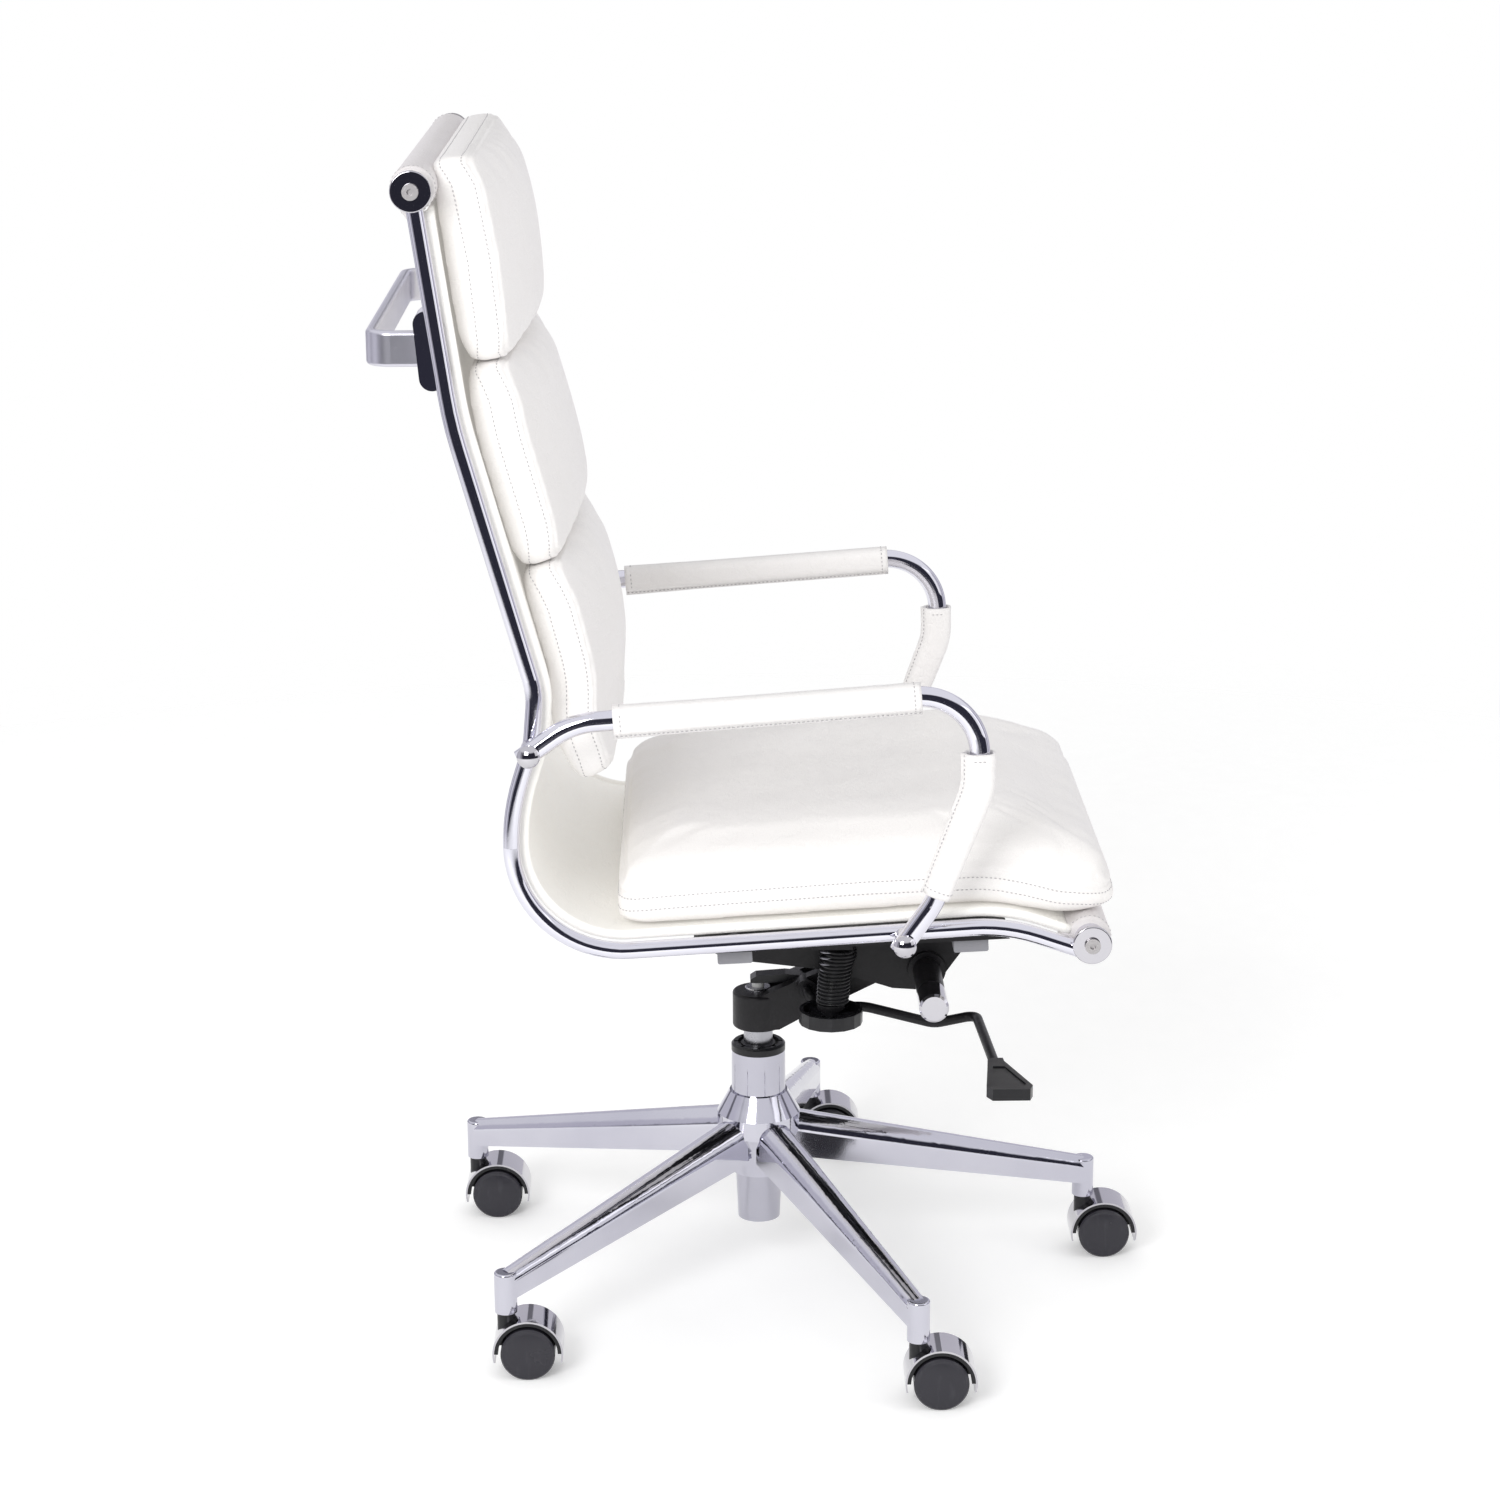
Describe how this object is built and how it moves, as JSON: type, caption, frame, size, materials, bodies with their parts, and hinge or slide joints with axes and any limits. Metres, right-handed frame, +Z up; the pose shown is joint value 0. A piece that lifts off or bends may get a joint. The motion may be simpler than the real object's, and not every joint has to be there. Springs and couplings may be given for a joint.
{
  "type": "swivel office chair",
  "caption": "High-back swivel office chair with padded leather cushions on a slung seat, chrome side rails, loop armrests, tilt mechanism, gas lift and star base on castors.",
  "frame": {"origin": "on the floor, under the axis of the swivel column", "axes": "+Z up, +X to the sitter's left, the sitter faces -Y"},
  "size_m": [0.6594, 0.7119, 1.1111],
  "materials": {
    "base_chrome": "polished",
    "tube_chrome": "polished",
    "bright_steel": "ground",
    "black_plastic": "moulded",
    "black_paint": "satin powder coat",
    "grey_paint": "satin powder coat",
    "frame_chrome": "polished",
    "cap_chrome": "polished",
    "pin_plastic": "moulded",
    "wheel_plastic": "moulded",
    "bellows_rubber": "moulded",
    "spring_steel": "oiled",
    "sling_leather": "semi-matt grain",
    "pad_leather": "semi-matt grain",
    "sleeve_leather": "semi-matt grain"
  },
  "bodies": {
    "base": {"star_base": "base_chrome", "lift_outer_tube": "tube_chrome", "lift_guide_bushing": "black_plastic", "lift_thrust_bearing": "bright_steel"},
    "lift_rod": {"lift_piston_rod": "bright_steel", "lift_rod_clip": "spring_steel"},
    "carrier": {"lift_cylinder": "bright_steel", "carrier_arm": "black_paint", "pivot_axle": "bright_steel", "tension_spring": "spring_steel", "tension_bellows": "bellows_rubber"},
    "release_pin": {"release_pin": "pin_plastic"},
    "lever": {"release_rocker": "black_plastic", "lever_rod": "black_paint", "lever_paddle": "black_plastic"},
    "tension_knob": {"tension_knob": "black_plastic", "tension_bolt": "bright_steel"},
    "seat": {"seat_plate": "black_paint", "pivot_side_tubes": "black_paint", "pivot_tube_caps": "cap_chrome", "seat_stretchers": "grey_paint", "support_plate": "black_paint", "mounting_bolts": "bright_steel", "side_rail_right": "frame_chrome", "side_rail_left": "frame_chrome", "crossbars": "frame_chrome", "sling_rolls": "sling_leather", "crossbar_end_caps": "cap_chrome", "frame_screws": "cap_chrome", "arm_tube_right": "frame_chrome", "arm_tube_left": "frame_chrome", "arm_sleeves": "sleeve_leather", "arm_fixings": "cap_chrome", "back_handle": "frame_chrome", "handle_clamps": "frame_chrome", "sling": "sling_leather", "back_pad_top": "pad_leather", "back_pad_middle": "pad_leather", "back_pad_lower": "pad_leather", "seat_pad": "pad_leather"},
    "castor_1": {"castor_1_frame": "black_plastic", "castor_1_hood": "cap_chrome", "castor_1_pins": "bright_steel"},
    "wheels_1": {"castor_1_wheels": "wheel_plastic"},
    "castor_2": {"castor_2_frame": "black_plastic", "castor_2_hood": "cap_chrome", "castor_2_pins": "bright_steel"},
    "wheels_2": {"castor_2_wheels": "wheel_plastic"},
    "castor_3": {"castor_3_frame": "black_plastic", "castor_3_hood": "cap_chrome", "castor_3_pins": "bright_steel"},
    "wheels_3": {"castor_3_wheels": "wheel_plastic"},
    "castor_4": {"castor_4_frame": "black_plastic", "castor_4_hood": "cap_chrome", "castor_4_pins": "bright_steel"},
    "wheels_4": {"castor_4_wheels": "wheel_plastic"},
    "castor_5": {"castor_5_frame": "black_plastic", "castor_5_hood": "cap_chrome", "castor_5_pins": "bright_steel"},
    "wheels_5": {"castor_5_wheels": "wheel_plastic"}
  },
  "joints": [
    {"name": "seat_swivel", "type": "hinge", "parent": "base", "child": "lift_rod", "pos_m": [0, 0, 0.2], "axis": [0, 0, 1], "continuous": true},
    {"name": "lift_height", "type": "slide", "parent": "lift_rod", "child": "carrier", "axis": [0, 0, 1], "range_m": [0, 0.085]},
    {"name": "seat_tilt", "type": "hinge", "parent": "carrier", "child": "seat", "pos_m": [0, -0.158, 0.331], "axis": [-1, 0, 0], "range_deg": [0, 8], "stiffness_Nm_per_rad": 120, "springref_deg": -28.65, "deforming": ["tension_spring", "tension_bellows"]},
    {"name": "lever_lift", "type": "hinge", "parent": "carrier", "child": "lever", "pos_m": [0, -0.046, 0.301], "axis": [-1, 0, 0], "range_deg": [0, 4], "stiffness_Nm_per_rad": 4, "springref_deg": -5.73},
    {"name": "pin_press", "type": "slide", "parent": "carrier", "child": "release_pin", "axis": [0, 0, -1], "range_m": [0, 0.0034]},
    {"name": "knob_turn", "type": "hinge", "parent": "carrier", "child": "tension_knob", "pos_m": [-0.078, -0.067, 0.292], "axis": [0, 0, 1], "continuous": true},
    {"name": "castor_1_swivel", "type": "hinge", "parent": "base", "child": "castor_1", "pos_m": [0.15594, 0.28401, 0.06], "axis": [0, 0, 1], "continuous": true},
    {"name": "wheels_1_roll", "type": "hinge", "parent": "castor_1", "child": "wheels_1", "pos_m": [0.15594, 0.264, 0.025], "axis": [1, 0, 0], "continuous": true},
    {"name": "castor_2_swivel", "type": "hinge", "parent": "base", "child": "castor_2", "pos_m": [-0.22192, 0.23607, 0.06], "axis": [0, 0, 1], "continuous": true},
    {"name": "wheels_2_roll", "type": "hinge", "parent": "castor_2", "child": "wheels_2", "pos_m": [-0.22192, 0.21607, 0.025], "axis": [1, 0, 0], "continuous": true},
    {"name": "castor_3_swivel", "type": "hinge", "parent": "base", "child": "castor_3", "pos_m": [-0.29309, -0.13811, 0.06], "axis": [0, 0, 1], "continuous": true},
    {"name": "wheels_3_roll", "type": "hinge", "parent": "castor_3", "child": "wheels_3", "pos_m": [-0.29309, -0.15811, 0.025], "axis": [1, 0, 0], "continuous": true},
    {"name": "castor_4_swivel", "type": "hinge", "parent": "base", "child": "castor_4", "pos_m": [0.04078, -0.32142, 0.06], "axis": [0, 0, 1], "continuous": true},
    {"name": "wheels_4_roll", "type": "hinge", "parent": "castor_4", "child": "wheels_4", "pos_m": [0.04078, -0.34142, 0.025], "axis": [1, 0, 0], "continuous": true},
    {"name": "castor_5_swivel", "type": "hinge", "parent": "base", "child": "castor_5", "pos_m": [0.31829, -0.06055, 0.06], "axis": [0, 0, 1], "continuous": true},
    {"name": "wheels_5_roll", "type": "hinge", "parent": "castor_5", "child": "wheels_5", "pos_m": [0.31829, -0.08055, 0.025], "axis": [1, 0, 0], "continuous": true}
  ],
  "couplings": [
    {"joint": "pin_press", "follows": "lever_lift", "m_per_rad": 0.046}
  ]
}
